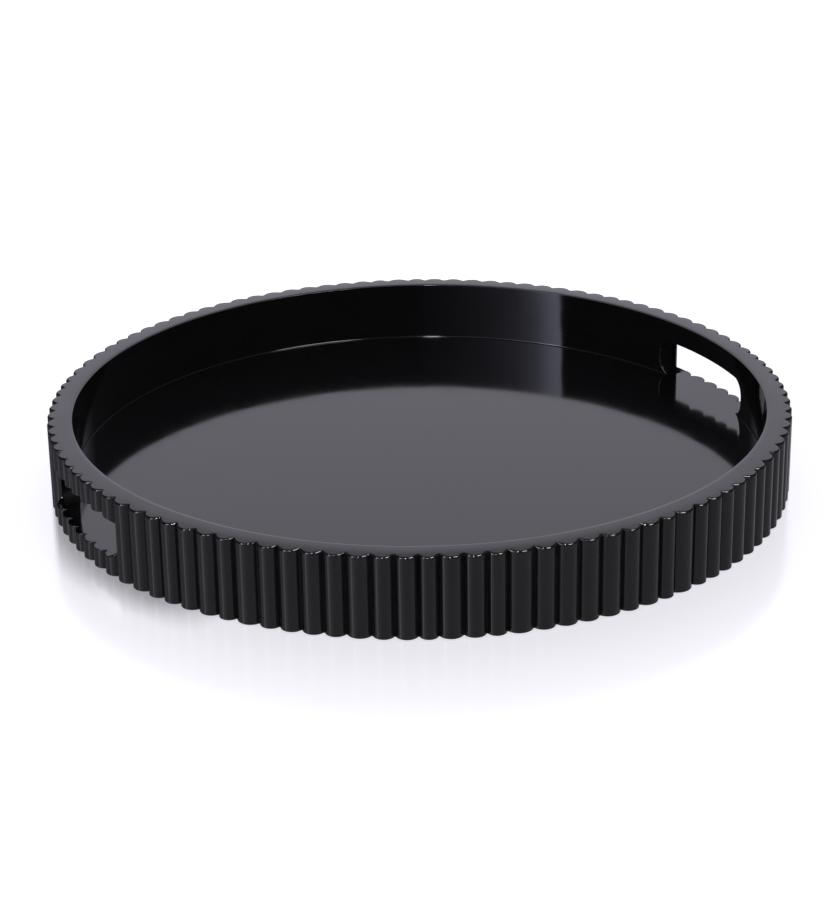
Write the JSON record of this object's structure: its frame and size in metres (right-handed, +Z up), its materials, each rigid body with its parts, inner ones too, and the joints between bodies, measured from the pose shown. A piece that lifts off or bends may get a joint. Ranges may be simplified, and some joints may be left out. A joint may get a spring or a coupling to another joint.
{
  "type": "serving tray",
  "caption": "Round serving tray in gloss black lacquer, with a reeded wall and a hand hole cut through each side.",
  "frame": {"origin": "on the tray's vertical axis, at the plane of the felt pads it stands on", "axes": "+Z up out of the tray's floor; the two hand holes are on +X (right) and -X (left), cut through along X; -Y is the front"},
  "size_m": [0.4572, 0.4572, 0.0505],
  "materials": {
    "lacquered_board": "gloss black lacquer on board",
    "lacquered_hoop": "gloss black lacquer on bentwood",
    "lacquered_reeds": "gloss black lacquer on half-round strips",
    "felt": "thin black wool felt"
  },
  "bodies": {
    "root": {"base_board": "lacquered_board", "hoop_inner_right": "lacquered_hoop", "hoop_inner_left": "lacquered_hoop", "hoop_outer_right": "lacquered_hoop", "hoop_outer_left": "lacquered_hoop", "reeds_front": "lacquered_reeds", "reeds_back": "lacquered_reeds", "reeds_right_upper": "lacquered_reeds", "reeds_right_lower": "lacquered_reeds", "reeds_left_upper": "lacquered_reeds", "reeds_left_lower": "lacquered_reeds", "felt_pads": "felt"}
  },
  "joints": []
}
